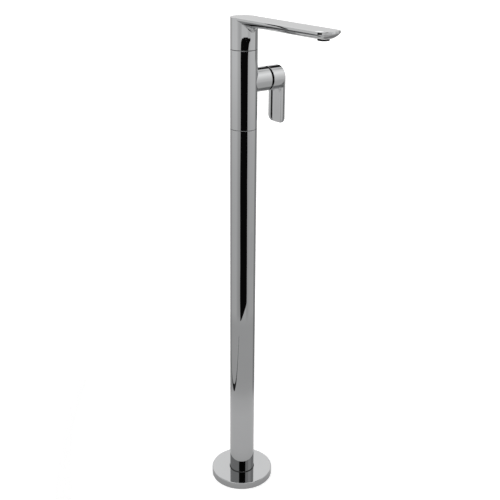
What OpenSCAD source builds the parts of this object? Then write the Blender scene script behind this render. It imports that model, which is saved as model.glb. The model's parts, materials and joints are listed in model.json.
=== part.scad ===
// Floor-standing basin mixer: a round column on a covered floor plate, a valve body with a side lever,
// and a flat spout that swivels on top. Millimetres, +Z up. The origin is on the column axis at floor
// level, the spout points to -Y at rest and the lever boss points to +X.

/* [Floor base] */
// Outside diameter of the cover flange
flange_d = 138.6; // [120:0.2:160]
// Height of the cover flange above the floor
flange_h = 16; // [15:0.5:22]
// Wall thickness of the cover flange
flange_wall = 1.8; // [1.2:0.1:2.4]
// Chamfer on the upper edge of the cover flange
flange_edge = 1; // [0.4:0.1:1.6]
// Diameter of the floor plate
plate_d = 116; // [110:1:118]
// Thickness of the floor plate
plate_t = 8; // [5:0.5:9]
// Diameter of the bolt circle in the floor plate
bolt_circle_d = 92; // [86:1:96]
// Diameter of each bolt hole
bolt_hole_d = 9; // [6:0.5:11]
// Number of bolt holes
bolt_count = 4; // [3:1:6]
// Height of the plate's spigot inside the column, above the plate
plate_spigot_h = 62; // [30:1:120]
// Outside diameter of the clamping collar on the plate
collar_d = 68; // [64:1:74]
// Height of the clamping collar above the plate
collar_h = 5.6; // [5:0.1:6]

/* [Column] */
// Outside diameter of the column and of the valve body
column_d = 55; // [52:0.5:60]
// Wall thickness of the column
column_wall = 2; // [1.5:0.1:2.4]
// Height of the seam between the column and the valve body
column_top = 833; // [500:1:1100]
// Height of the groove at that seam
column_seam = 0.8; // [0.4:0.1:2]
// Depth of the joint grooves below the outer skin
seam_depth = 0.9; // [0.4:0.1:1.5]
// Thickness of the seal ring at the column foot
foot_seal_t = 0.9; // [0.5:0.1:2]

/* [Supply hoses] */
// Outside diameter of each braided hose
hose_d = 11; // [9:0.5:12]
// Bore of each braided hose
hose_bore_d = 7; // [5:0.5:7]
// Distance between the two hoses
hose_gap = 22.4; // [21.5:0.1:23]
// Width across flats of the inlet nuts
inlet_nut_flats = 18; // [17.6:0.1:18.6]
// Diameter of the inlet thread
inlet_thread_d = 15; // [13:0.1:15.4]

/* [Valve body] */
// Height of the valve body between the two seams
body_h = 157; // [150:1:240]
// Height of the lever boss axis above the lower seam
boss_rise = 93.5; // [88:0.5:94]
// Outside diameter of the lever boss and of the lever knob
boss_d = 48.8; // [48:0.1:52]
// Distance from the column axis to the end of the boss
boss_reach = 54.2; // [54.2:0.1:58]
// Diameter of the cartridge
cartridge_d = 35; // [33:0.1:35.4]
// Distance from the column axis to the cartridge seat
seat_x = 12; // [10:0.1:12]

/* [Lever] */
// Gap between the boss and the knob
knob_gap = 4.6; // [2.6:0.1:5]
// Length of the knob from its rim to its flat outer face
knob_length = 29.8; // [28:0.1:36]
// Wall thickness of the knob skirt
knob_wall = 2.4; // [1.6:0.1:2.8]
// Length of the lever blade below the boss axis
blade_drop = 93.5; // [60:0.5:130]
// Thickness of the lever blade
blade_t = 4.6; // [3.6:0.1:7]
// Corner radius at the foot of the lever blade
blade_corner = 13; // [6:0.5:18]
// Depth of the shallow recess in the back of the blade
blade_recess = 2.8; // [0.8:0.1:3]
// Width of the rim that is left on each side of the recess
blade_rim = 8.2; // [4:0.5:10]
// Angle through which the lever lifts
lift_angle = 22; // [10:1:22]

/* [Spout] */
// Height of the spout head from its seam to the flat top
head_h = 61; // [56:0.5:90]
// Height of the groove at the swivel seam
swivel_seam = 1; // [0.6:0.1:2]
// Distance from the column axis to the tip of the spout
spout_reach = 246; // [200:1:320]
// Width of the spout
spout_w = 52; // [46:0.5:52]
// Depth of the spout at its middle
spout_depth = 16.8; // [15:0.1:22]
// Depth of the upright edge round the spout's top
spout_edge = 4.2; // [1.5:0.1:5]
// Length of the rounded tip
tip_length = 22; // [16:0.5:40]
// Radius of the blend under the spout where it meets the head
root_blend = 12; // [6:0.5:16]
// Wall thickness of the hollow spout
spout_wall = 2.4; // [1.8:0.1:3]
// Distance from the tip to the aerator's axis
aerator_inset = 24.5; // [22:0.5:50]
// Outside diameter of the aerator
aerator_d = 22; // [18:0.5:24]
// How far the aerator stands below the spout
aerator_drop = 1; // [0:0.1:4]
// Diameter of the spigot that the spout turns on
spigot_d = 30; // [26:0.5:32]
// Angle through which the spout turns to each side
swivel_angle = 60; // [30:1:75]

/* [Clearances] */
// Radial running clearance of shafts and swivels
run_fit = 0.05; // [0.02:0.01:0.1]
// Clearance of parts that are pushed together and stay
seat_fit = 0.05; // [0.02:0.01:0.1]
// Clearance round parts that tilt inside a slot
tilt_fit = 0.3; // [0.2:0.05:0.5]

/* [Hidden] */
$fn = 96;
eps = 0.02;

// Radii and heights of the column and the seams
column_r = column_d / 2;
column_bore_r = column_r - column_wall;
seam_r = column_r - seam_depth;
tube_end_z = column_top - column_seam / 2;
body_foot_z = column_top + column_seam / 2;
swivel_z = column_top + body_h;
body_end_z = swivel_z - swivel_seam / 2;
head_foot_z = swivel_z + swivel_seam / 2;
top_z = swivel_z + head_h;
boss_z = column_top + boss_rise;
boss_r = boss_d / 2;

// Floor base
plate_bore_r = column_bore_r - 2.8;
grub_d = 4;
grub_z = plate_t + collar_h / 2;
spigot_fit_r = column_bore_r - seat_fit;

// Column coupling
coupling_grip = 42;
coupling_wall = 3;
spacer_t = 6;
spacer_heights = [0.36, 0.72];

// Hoses and their fittings, from the inlets upwards
hose_y = hose_gap / 2;
hose_x = 1;
nut_foot_z = 1.5;
nut_thread_h = 8;
nut_chamber_h = 4.2;
nut_roof_h = 4;
nut_thread_r = inlet_thread_d / 2;
nut_chamber_r = nut_thread_r + 0.3;
washer_t = 2;
collar_t = 1.9;
neck_r = hose_d / 2 + 0.2;
washer_z = nut_foot_z + nut_thread_h;
collar_z = washer_z + washer_t;
nut_roof_z = nut_foot_z + nut_thread_h + nut_chamber_h;
sleeve_wall = 1.1;
sleeve_h = 18;
hose_foot_z = nut_roof_z + nut_roof_h + 4;
sleeve_foot_z = nut_roof_z + nut_roof_h + 1;

// Valve block: the solid middle of the valve body
lower_cavity_h = 51.6;
block_foot_z = body_foot_z + lower_cavity_h;
upper_socket_h = 14.5;
thread_socket_h = 17;
upper_socket_z = body_end_z - upper_socket_h;
thread_socket_z = upper_socket_z - thread_socket_h;
inlet_port_z = boss_z - 6;
outlet_port_z = boss_z + 8;
port_y = 7;
inlet_port_r = 3;
outlet_port_r = 3.6;
outlet_x = -3;
tail_thread_r = 5;
tail_thread_h = 10;
tail_seal_t = 1.6;
tail_shoulder_h = 9;
tail_top_z = block_foot_z + tail_thread_h;
tail_shoulder_z = block_foot_z - tail_seal_t - tail_shoulder_h;
hose_head_z = tail_shoulder_z - 2;

// Cartridge, measured along its axis from the seat
cart_r = cartridge_d / 2;
chamber_fit = 0.2;
base_t = 5;
fixed_disc_t = 3;
moving_disc_t = 2.9;
disc_face = 0.05;
disc_r = 10.2;
carrier_t = 4.5;
fixed_disc_l = base_t;
moving_disc_l = fixed_disc_l + fixed_disc_t + disc_face;
carrier_l = moving_disc_l + moving_disc_t;
turret_l = carrier_l + carrier_t + 0.5;
pivot_l = turret_l + 5;
housing_wall = 1.8;
housing_l = 29;
housing_roof = 2;
neck_turret_r = 11.75;
turret_end_l = housing_l + 2;
tail_ball_r = 2.2;
tail_arm = 7.4;
tail_neck_r = 1.5;
stem_w = 8;
pin_r = 1.5;
peg_r = 1.6;
peg_h = 3;
port_seal_t = 1.2;
port_seal_w = 1.6;
nut_l = housing_l;
nut_t = 6.5;
nut_r = cart_r + 2;
nut_bore_r = 13.6;
dome_l = nut_l + nut_t;
dome_r = boss_r - 3.2;
dome_bore_r = 16;
dome_end_x = boss_reach + knob_gap + 1;
peg_places = [[-4, 12], [-4, -12]];
inlet_places = [[boss_z - inlet_port_z, port_y], [boss_z - inlet_port_z, -port_y]];
outlet_place = [boss_z - outlet_port_z, 0];

// Lever
knob_x = boss_reach + knob_gap;
lever_face_x = knob_x + knob_length;
knob_bore_r = boss_r - knob_wall;
knob_cavity = 11.2;
hub_r = 7.5;
hub_lead = 2.5;
stem_end_x = lever_face_x - 9;
lever_screw_x = stem_end_x - 5;
plug_r = 3;
plug_t = 4;
blade_foot_bow = 1.2;
pocket_slope = 0.8;
blade_foot_z = boss_z - blade_drop;

// Spout
spout_half = spout_w / 2;
tip_u = spout_reach - tip_length;
spout_belly = spout_depth - spout_edge;
belly_r = (spout_half * spout_half + spout_belly * spout_belly) / (2 * spout_belly);
belly_sink = belly_r - spout_belly;
tip_power = 3.5;
section_steps = 12;
tip_steps = 7;
blend_half = spout_half - 5;
blend_lead = 1;
aerator_y = -(spout_reach - aerator_inset);
aerator_r = aerator_d / 2;
aerator_foot_z = top_z - spout_depth - aerator_drop;
aerator_h = 8.6;
aerator_boss_r = aerator_r + 2.2;
aerator_seat_r = aerator_r - 2;
spigot_r = spigot_d / 2;
spigot_bore_r = spigot_r - 6;
spigot_flange_h = 10.5;
spigot_seal_t = 1.5;
spigot_flange_z = upper_socket_z + spigot_seal_t;
spigot_top_z = top_z - 18;
oring_r = 1;
oring_heights = [spigot_top_z - 12, spigot_top_z - 21];
keeper_z = head_foot_z + 9.5;
keeper_r = 2;
keeper_tip_r = 1.6;
keeper_groove = 2.5;
glide_bore_r = spigot_r + 5;

// Round bar standing on the point p
module bar(r, h, p = [0, 0, 0]) {
    translate(p) cylinder(r = r, h = h);
}

// Round tube standing on the point p
module pipe(r, bore, h, p = [0, 0, 0]) {
    translate(p) difference() {
        cylinder(r = r, h = h);
        translate([0, 0, -1]) cylinder(r = bore, h = h + 2);
    }
}

// Places children on the boss axis, with their +Z along +X and their origin at x
module on_boss(x) {
    translate([x, 0, boss_z]) rotate([0, 90, 0]) children();
}

// Places children at both hoses
module at_hoses() {
    for (side = [-1, 1]) translate([hose_x, side * hose_y, 0]) children();
}

// Base

module floor_base_plate() {
    color("dimgray") difference() {
        union() {
            bar(plate_d / 2, plate_t);
            bar(collar_d / 2, plate_t + collar_h);
            bar(spigot_fit_r, plate_t + plate_spigot_h);
        }
        difference() {
            bar(column_r + seat_fit, collar_h + 1, [0, 0, plate_t]);
            bar(spigot_fit_r, collar_h + 1, [0, 0, plate_t]);
        }
        bar(plate_bore_r, plate_t + plate_spigot_h + 2, [0, 0, -1]);
        for (i = [0:bolt_count - 1]) rotate(45 + i * 360 / bolt_count)
            bar(bolt_hole_d / 2, plate_t + 2, [bolt_circle_d / 2, 0, -1]);
        base_grub_places() cylinder(r = grub_d / 2, h = collar_d);
    }
}

// Three radial screw places round the column foot
module base_grub_places() {
    for (a = [30, 150, 270]) rotate(a)
        translate([column_r, 0, grub_z]) rotate([0, 90, 0]) children();
}

module base_grub_screws() {
    screw_l = collar_d / 2 - column_r - 0.4;
    color("gray") base_grub_places() difference() {
        cylinder(r = grub_d / 2 - seat_fit, h = screw_l);
        translate([0, 0, screw_l - 1.8]) cylinder(d = 2.3, h = 2, $fn = 6);
    }
}

module cover_flange() {
    r = flange_d / 2;
    hole_r = column_r + seat_fit;
    color("silver") rotate_extrude() polygon([
        [r, 0], [r, flange_h - flange_edge], [r - flange_edge, flange_h], [hole_r, flange_h],
        [hole_r, flange_h - flange_wall], [r - flange_wall, flange_h - flange_wall], [r - flange_wall, 0]
    ]);
}

module column_foot_seal() {
    color("black") pipe(column_r + foot_seal_t, column_r + seat_fit, foot_seal_t, [0, 0, flange_h]);
}

// Column

module column_tube() {
    color("silver") pipe(column_r, column_bore_r, tube_end_z - plate_t, [0, 0, plate_t]);
}

module column_coupling() {
    color("goldenrod")
        pipe(spigot_fit_r, spigot_fit_r - coupling_wall, 2 * coupling_grip,
            [0, 0, column_top - coupling_grip]);
}

// Dark ring between the column and the valve body
module column_joint_ring() {
    color("black") pipe(seam_r, spigot_fit_r + seat_fit, column_seam, [0, 0, tube_end_z]);
}

module hose_spacers() {
    color("white") for (share = spacer_heights) translate([0, 0, share * column_top]) difference() {
        cylinder(r = column_bore_r - seat_fit, h = spacer_t);
        at_hoses() bar(hose_d / 2 + seat_fit, spacer_t + 2, [0, 0, -1]);
        for (side = [-1, 1]) bar(6, spacer_t + 2, [side * 16, 0, -1]);
    }
}

// Hoses

module supply_hose(side) {
    pipe(hose_d / 2, hose_bore_d / 2, hose_head_z - hose_foot_z, [hose_x, side * hose_y, hose_foot_z]);
}

module hot_supply_hose() {
    color("lightgray") supply_hose(-1);
}

module cold_supply_hose() {
    color("lightgray") supply_hose(1);
}

module nut_shape(side) {
    nut_h = nut_thread_h + nut_chamber_h + nut_roof_h;
    translate([hose_x, side * hose_y, nut_foot_z]) difference() {
        rotate(30) cylinder(d = inlet_nut_flats / cos(30), h = nut_h, $fn = 6);
        bar(nut_thread_r, nut_thread_h + 1, [0, 0, -1]);
        bar(nut_chamber_r, nut_chamber_h, [0, 0, nut_thread_h]);
        bar(neck_r + seat_fit, nut_roof_h + 1, [0, 0, nut_thread_h + nut_chamber_h - eps]);
    }
}

module hot_inlet_nut() {
    color("goldenrod") nut_shape(-1);
}

module cold_inlet_nut() {
    color("goldenrod") nut_shape(1);
}

// Flared ends that the nuts draw down on their washers
module hose_end_collars() {
    neck_h = hose_foot_z - collar_z;
    color("goldenrod") at_hoses() difference() {
        union() {
            bar(nut_chamber_r - 0.2, collar_t, [0, 0, collar_z]);
            bar(neck_r, neck_h, [0, 0, collar_z]);
        }
        bar(hose_bore_d / 2, neck_h + 2, [0, 0, collar_z - 1]);
    }
}

module hose_crimp_sleeves() {
    inner = neck_r + seat_fit;
    color("silver") at_hoses() for (z = [sleeve_foot_z, hose_head_z - sleeve_h + 1])
        pipe(inner + sleeve_wall, inner, sleeve_h, [0, 0, z]);
}

module inlet_washers() {
    color("black") at_hoses() pipe(nut_chamber_r - 0.1, hose_bore_d / 2, washer_t, [0, 0, washer_z]);
}

module hose_tails() {
    color("goldenrod") at_hoses() difference() {
        union() {
            bar(neck_r, tail_shoulder_z - hose_head_z, [0, 0, hose_head_z]);
            translate([0, 0, tail_shoulder_z]) cylinder(d = 14, h = tail_shoulder_h, $fn = 6);
            bar(tail_thread_r - seat_fit, tail_top_z - tail_shoulder_z, [0, 0, tail_shoulder_z]);
        }
        bar(hose_bore_d / 2, tail_top_z - hose_head_z + 2, [0, 0, hose_head_z - 1]);
    }
}

module hose_tail_seals() {
    color("black") at_hoses()
        pipe(tail_thread_r + 1.4, tail_thread_r, tail_seal_t, [0, 0, block_foot_z - tail_seal_t]);
}

// Valve body

module valve_body() {
    color("silver") difference() {
        union() {
            bar(column_r, body_end_z - body_foot_z, [0, 0, body_foot_z]);
            on_boss(0) cylinder(r = boss_r, h = boss_reach);
        }
        bar(spigot_fit_r + seat_fit, lower_cavity_h, [0, 0, body_foot_z]);
        bar(spigot_r + 4 + seat_fit, upper_socket_h, [0, 0, upper_socket_z]);
        bar(spigot_r + 1 + seat_fit, thread_socket_h + 1, [0, 0, thread_socket_z]);
        on_boss(seat_x) cylinder(r = cart_r + chamber_fit, h = boss_reach);
        on_boss(seat_x + nut_l) cylinder(r = nut_r + seat_fit, h = boss_reach);
        on_boss(seat_x + dome_l) cylinder(r = dome_r + seat_fit, h = boss_reach);
        on_boss(seat_x) for (p = peg_places) bar(peg_r + seat_fit, peg_h + 1, [p[0], p[1], -peg_h]);
        inlet_passages();
        outlet_passage();
    }
}

module inlet_passages() {
    at_hoses() {
        bar(tail_thread_r, tail_thread_h, [0, 0, block_foot_z]);
        bar(tail_thread_r - 1, inlet_port_z + 3 - block_foot_z, [0, 0, block_foot_z]);
    }
    on_boss(hose_x) for (p = inlet_places) bar(inlet_port_r, seat_x - hose_x + 1, [p[0], p[1], 0]);
}

module outlet_passage() {
    on_boss(outlet_x) bar(outlet_port_r, seat_x - outlet_x + 1, [outlet_place[0], 0, 0]);
    bar(outlet_port_r + 1, thread_socket_z - outlet_port_z + 4, [outlet_x, 0, outlet_port_z - 3]);
}

// Cartridge

module cartridge_base() {
    color("dimgray") on_boss(seat_x) difference() {
        union() {
            cylinder(r = cart_r, h = base_t);
            for (p = peg_places) bar(peg_r, peg_h + 1, [p[0], p[1], -peg_h]);
        }
        for (p = inlet_places) port_cut(p, inlet_port_r);
        port_cut(outlet_place, outlet_port_r);
    }
}

// One water port through the cartridge base, with the pocket of its seal
module port_cut(p, r) {
    bar(r, base_t + 2, [p[0], p[1], -1]);
    bar(r + port_seal_w, port_seal_t + 1, [p[0], p[1], -1]);
}

module cartridge_port_seals() {
    color("black") on_boss(seat_x) {
        for (p = inlet_places) port_seal(p, inlet_port_r);
        port_seal(outlet_place, outlet_port_r);
    }
}

module port_seal(p, r) {
    pipe(r + port_seal_w - seat_fit, r, port_seal_t, [p[0], p[1], 0]);
}

module fixed_ceramic_disc() {
    color("white") on_boss(seat_x + fixed_disc_l) difference() {
        cylinder(r = cart_r - housing_wall - chamber_fit, h = fixed_disc_t);
        for (p = inlet_places) bar(inlet_port_r, fixed_disc_t + 2, [p[0], p[1], -1]);
        bar(outlet_port_r, fixed_disc_t + 2, [outlet_place[0], 0, -1]);
    }
}

// The moving disc has a shallow pocket that joins the ports as it slides and turns
module moving_ceramic_disc() {
    color("white") on_boss(seat_x + moving_disc_l) difference() {
        cylinder(r = disc_r, h = moving_disc_t);
        bar(4.5, 1.5, [-3, 0, -eps]);
        translate([-3, -6.5, -eps]) cube([5.5, 13, 1.5]);
    }
}

module disc_carrier() {
    color("dimgray") on_boss(seat_x + carrier_l) difference() {
        cylinder(r = disc_r, h = carrier_t);
        bar(tail_ball_r + tilt_fit, carrier_t + 2, [0, 0, -1]);
    }
}

module cartridge_housing() {
    bore_r = cart_r - housing_wall;
    color("gainsboro") on_boss(seat_x + base_t) difference() {
        cylinder(r = cart_r, h = housing_l - base_t);
        bar(bore_r, housing_l - base_t - housing_roof + 1, [0, 0, -1]);
        bar(neck_turret_r + run_fit, housing_l, [0, 0, 0]);
    }
}

module cartridge_turret() {
    flange_h = housing_l - housing_roof - 0.1 - turret_l;
    rise = turret_end_l - turret_l;
    above = turret_end_l - pivot_l;
    swing = above * tan(lift_angle) + stem_w / 2 / cos(lift_angle) + tilt_fit;
    low_swing = 4 * tan(lift_angle) + stem_w / 2 / cos(lift_angle) + tilt_fit;
    color("dimgray") on_boss(seat_x + turret_l) difference() {
        union() {
            cylinder(r = cart_r - housing_wall - run_fit, h = flange_h);
            cylinder(r = neck_turret_r, h = rise);
        }
        translate([-swing, -stem_w / 2 - tilt_fit, -1])
            cube([swing + low_swing, stem_w + 2 * tilt_fit, rise + 2]);
        pin_hole(pivot_l - turret_l, cart_r, pin_r + 0.02);
    }
}

// Cross hole for the pivot pin, at height l along the cartridge
module pin_hole(l, half, r) {
    translate([0, -half, l]) rotate([-90, 0, 0]) cylinder(r = r, h = 2 * half);
}

module turret_pin() {
    color("gray") on_boss(seat_x) pin_hole(pivot_l, 12, pin_r);
}

module lever_stem() {
    foot_l = pivot_l - 4;
    end_l = stem_end_x - seat_x;
    color("gray") on_boss(seat_x) difference() {
        union() {
            translate([-stem_w / 2, -stem_w / 2, foot_l]) cube([stem_w, stem_w, end_l - foot_l]);
            bar(tail_neck_r, tail_arm, [0, 0, pivot_l - tail_arm]);
            translate([0, 0, pivot_l - tail_arm]) sphere(r = tail_ball_r, $fn = 48);
        }
        pin_hole(pivot_l, stem_w, pin_r + run_fit);
    }
}

module cartridge_nut() {
    color("goldenrod") on_boss(seat_x + nut_l) difference() {
        cylinder(r = nut_r, h = nut_t);
        bar(nut_bore_r, nut_t + 2, [0, 0, -1]);
        for (a = [0:90:270]) rotate(a) translate([nut_bore_r - 1, -1.5, nut_t - 2]) cube([3.5, 3, 3]);
    }
}

// Dark sleeve that closes the boss and shows in the gap behind the knob
module boss_dome() {
    length = dome_end_x - seat_x - dome_l;
    color("black") on_boss(seat_x + dome_l) rotate_extrude() polygon([
        [dome_bore_r, 0], [dome_r, 0], [dome_r, length - 2], [dome_r - 2, length], [dome_bore_r, length]
    ]);
}

// Lever

// Outline of the blade's foot and sides, drawn in Y and Z about the boss axis
module blade_outline() {
    bow_r = (boss_r * boss_r + blade_foot_bow * blade_foot_bow) / (2 * blade_foot_bow);
    corner_z = blade_corner + blade_foot_bow - blade_drop;
    intersection() {
        union() {
            translate([-boss_r, corner_z]) square([2 * boss_r, -corner_z]);
            for (side = [-1, 1]) translate([side * (boss_r - blade_corner), corner_z])
                circle(r = blade_corner);
            translate([blade_corner - boss_r, -blade_drop - 1])
                square([2 * (boss_r - blade_corner), blade_corner + blade_foot_bow + 2]);
        }
        translate([0, bow_r - blade_drop]) circle(r = bow_r, $fn = 360);
    }
}

// Stands the drawn outline upright: its x along +Y, its y along +Z and its thickness along +X
module upright(x) {
    translate([x, 0, boss_z]) rotate([90, 0, 90]) children();
}

module lever_handle() {
    color("silver") difference() {
        union() {
            on_boss(knob_x) cylinder(r = boss_r, h = knob_length);
            upright(lever_face_x - blade_t) linear_extrude(blade_t) blade_outline();
        }
        difference() {
            on_boss(knob_x - 1) cylinder(r = knob_bore_r, h = knob_cavity + 1);
            on_boss(knob_x + knob_cavity - hub_lead) cylinder(r = hub_r, h = knob_cavity);
        }
        blade_pocket();
        on_boss(knob_x - 1) translate([-stem_w / 2 - seat_fit, -stem_w / 2 - seat_fit, 0])
            cube([stem_w + 2 * seat_fit, stem_w + 2 * seat_fit, stem_end_x - knob_x + 1 + seat_fit]);
        lever_screw_place() cylinder(r = grub_d / 2, h = boss_r);
        lever_screw_place() bar(plug_r + seat_fit, boss_r, [0, 0, boss_r - stem_w / 2 - plug_t]);
    }
}

// Shallow recess in the back of the blade, with sloping sides, that runs out at the foot
module blade_pocket() {
    difference() {
        hull() {
            pocket_slice(lever_face_x - blade_t - eps, blade_rim);
            pocket_slice(lever_face_x - blade_t + blade_recess - eps,
                blade_rim + blade_recess / pocket_slope);
        }
        on_boss(knob_x) cylinder(r = boss_r + 3, h = knob_length + 1);
    }
}

// Thin upright slice of the recess at x, inset from both sides of the blade
module pocket_slice(x, inset) {
    upright(x) linear_extrude(eps) translate([inset - boss_r, -blade_drop - 2])
        square([2 * (boss_r - inset), blade_drop + 2]);
}

module lever_screw_place() {
    translate([lever_screw_x, stem_w / 2, boss_z]) rotate([-90, 0, 0]) children();
}

module lever_grub_screw() {
    color("gray") lever_screw_place() difference() {
        bar(grub_d / 2 - seat_fit, 8, [0, 0, 0.02]);
        translate([0, 0, 6.2]) cylinder(d = 2.3, h = 3, $fn = 6);
    }
}

module lever_screw_plug() {
    color("silver") lever_screw_place() bar(plug_r, plug_t - 0.4, [0, 0, boss_r - stem_w / 2 - plug_t]);
}

// Spout

module spout_spigot() {
    color("goldenrod") difference() {
        union() {
            bar(spigot_r + 1, upper_socket_z - thread_socket_z, [0, 0, thread_socket_z + 0.5]);
            bar(spigot_r + 4, spigot_flange_h, [0, 0, spigot_flange_z]);
            bar(spigot_r, spigot_top_z - thread_socket_z - 1, [0, 0, thread_socket_z + 1]);
        }
        bar(spigot_bore_r, spigot_top_z, [0, 0, thread_socket_z - 1]);
        for (z = oring_heights) difference() {
            bar(spigot_r + 1, 2 * oring_r + 0.4, [0, 0, z - oring_r - 0.2]);
            bar(spigot_r - 2 * oring_r, 2 * oring_r + 2, [0, 0, z - oring_r - 1]);
        }
        keeper_slot();
    }
}

// Slot round the back of the spigot: its ends stop the retaining screw, and so the spout's turn
module keeper_slot() {
    half_angle = swivel_angle + asin(keeper_tip_r / (spigot_r - keeper_groove)) + 1;
    translate([0, 0, keeper_z - keeper_r - 0.1]) rotate(90 - half_angle)
        rotate_extrude(angle = 2 * half_angle) translate([spigot_r - keeper_groove, 0])
            square([keeper_groove + 1, 2 * keeper_r + 0.2]);
}

module spigot_base_seal() {
    color("black") pipe(spigot_r + 3.8, spigot_r + 1.1, spigot_seal_t, [0, 0, upper_socket_z]);
}

module spigot_seals() {
    color("black") for (z = oring_heights) translate([0, 0, z])
        rotate_extrude() translate([spigot_r - oring_r, 0]) circle(r = oring_r, $fn = 24);
}

module swivel_glide_ring() {
    color("black") pipe(seam_r, glide_bore_r, swivel_seam - 0.1, [0, 0, body_end_z]);
}

module spout_retaining_screw() {
    inner = spigot_r - keeper_groove + 0.3;
    step = spigot_r + 0.6;
    color("gray") translate([0, 0, keeper_z]) rotate([-90, 0, 0]) difference() {
        union() {
            bar(keeper_tip_r, step - inner + 1, [0, 0, inner]);
            bar(keeper_r - seat_fit, column_r - 1.2 - step, [0, 0, step]);
        }
        translate([0, 0, column_r - 3.2]) cylinder(d = 2.3, h = 3, $fn = 6);
    }
}

// Depth of the spout's belly under its edge, at the share r of the way from the middle to the rim
function belly(r) = sqrt(max(belly_r * belly_r - pow(spout_half * r, 2), 0)) - belly_sink;

// Height of the blend between the belly and the round head, v across and d out from the head's skin
function blend_size(v) = root_blend * max(1 - (sqrt(v * v + 9) - 3) / (blend_half - 3), 0);
function blend_drop(f, d) = d >= f ? 0 : f - sqrt(max(f * f - pow(f - max(d, 0), 2), 0));

// Stations along the spout: each has its distance u from the column axis and its half width
function tip_angle(i) = 87.5 * i / tip_steps;
tip_stations = [for (i = [0:tip_steps]) [
    tip_u + tip_length * pow(sin(tip_angle(i)), 2 / tip_power),
    spout_half * pow(cos(tip_angle(i)), 2 / tip_power)
]];
root_stations = [for (u = concat([0], [for (i = [0:6]) column_r - 13.5 + i * (root_blend + 13.5) / 6]))
    [u, spout_half]];
stations = concat(root_stations, tip_stations);

// Underside height at distance u along and v across
function share(u, v) = pow(
    pow(abs(v) / spout_half, tip_power) + pow(max(u - tip_u, 0) / tip_length, tip_power), 1 / tip_power);
function under_z(u, v) = top_z - spout_edge - belly(min(share(u, v), 1))
    - blend_drop(blend_size(v), sqrt(u * u + v * v) - column_r + blend_lead);

// One ring of points round the spout: the top corners, then the belly from one rim to the other
function ring(s) = concat(
    [[-s[1], -s[0], top_z], [s[1], -s[0], top_z]],
    [for (k = [0:section_steps]) let (v = s[1] * sin(90 - 180 * k / section_steps))
        [v, -s[0], under_z(s[0], v)]]
);

// Side faces between successive rings of n points, and the two end caps
function ring_faces(rings, n) = concat(
    [[for (k = [n - 1:-1:0]) k]],
    [for (i = [0:rings - 2], k = [0:n - 1]) let (a = i * n + k, b = i * n + (k + 1) % n)
        [a, b, b + n, a + n]],
    [[for (k = [0:n - 1]) (rings - 1) * n + k]]
);

module spout_blade() {
    polyhedron(
        points = [for (s = stations, p = ring(s)) p],
        faces = ring_faces(len(stations), section_steps + 3),
        convexity = 6
    );
}

// Waterway inside the spout, one wall thickness in from its skin
module spout_waterway() {
    half = spout_half - spout_wall - spout_edge;
    roof = top_z - spout_wall;
    depth = spout_depth - 2 * spout_wall;
    inner_r = (half * half + depth * depth) / (2 * depth);
    front = -(spout_reach - tip_length / 2 - spout_wall);
    intersection() {
        translate([0, 0, roof + inner_r - depth]) rotate([90, 0, 0]) translate([0, 0, spigot_bore_r])
            cylinder(r = inner_r, h = -front - spigot_bore_r);
        translate([-half, front, roof - depth - 1]) cube([2 * half, -front, depth + 1]);
    }
}

module spout_body() {
    color("silver") difference() {
        union() {
            difference() {
                union() {
                    spout_blade();
                    bar(column_r, top_z - head_foot_z, [0, 0, head_foot_z]);
                }
                spout_waterway();
            }
            bar(aerator_boss_r, aerator_h + 2, [0, aerator_y, top_z - spout_depth + 3]);
        }
        bar(spigot_r + run_fit, spigot_top_z + 1 - head_foot_z, [0, 0, head_foot_z]);
        bar(spigot_bore_r, top_z - spout_wall - spigot_top_z, [0, 0, spigot_top_z]);
        bar(aerator_r + seat_fit, aerator_h + seat_fit, [0, aerator_y, aerator_foot_z]);
        bar(aerator_seat_r, top_z - spout_wall - aerator_foot_z, [0, aerator_y, aerator_foot_z]);
        translate([0, 0, keeper_z]) rotate([-90, 0, 0]) cylinder(r = keeper_r, h = column_r + 1);
    }
}

module aerator_housing() {
    color("black") difference() {
        bar(aerator_r, aerator_h - 1.5, [0, aerator_y, aerator_foot_z]);
        bar(aerator_r - 1.6, aerator_h - 3, [0, aerator_y, aerator_foot_z + 1.2]);
        bar(aerator_r - 2.6, aerator_h, [0, aerator_y, aerator_foot_z - 1]);
    }
}

module aerator_insert() {
    r = aerator_r - 1.6 - seat_fit;
    color("gray") translate([0, aerator_y, aerator_foot_z + 1.25]) difference() {
        cylinder(r = r, h = aerator_h - 3.1);
        bar(r - 1.4, aerator_h, [0, 0, 2.5]);
        for (ring = [[0, 1], [2.4, 6], [4.8, 12]], i = [0:ring[1] - 1]) rotate(i * 360 / ring[1])
            bar(0.7, 4, [ring[0], 0, -1]);
    }
}

module aerator_gasket() {
    color("black")
        pipe(aerator_r - 0.3, aerator_seat_r, 1.4, [0, aerator_y, aerator_foot_z + aerator_h - 1.45]);
}

floor_base_plate();
cover_flange();
column_foot_seal();
base_grub_screws();
column_tube();
column_coupling();
column_joint_ring();
hose_spacers();
hot_supply_hose();
cold_supply_hose();
hot_inlet_nut();
cold_inlet_nut();
hose_end_collars();
hose_crimp_sleeves();
inlet_washers();
hose_tails();
hose_tail_seals();
valve_body();
cartridge_base();
cartridge_port_seals();
fixed_ceramic_disc();
moving_ceramic_disc();
disc_carrier();
cartridge_housing();
cartridge_turret();
turret_pin();
lever_stem();
cartridge_nut();
boss_dome();
lever_handle();
lever_grub_screw();
lever_screw_plug();
spout_spigot();
spigot_base_seal();
spigot_seals();
swivel_glide_ring();
spout_body();
spout_retaining_screw();
aerator_housing();
aerator_insert();
aerator_gasket();
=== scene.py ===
"""Looks of a floor-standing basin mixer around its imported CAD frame. Metres, row frame."""

import json
import math

import bmesh
import bpy
import numpy as np
from mathutils import Matrix, Vector


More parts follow.
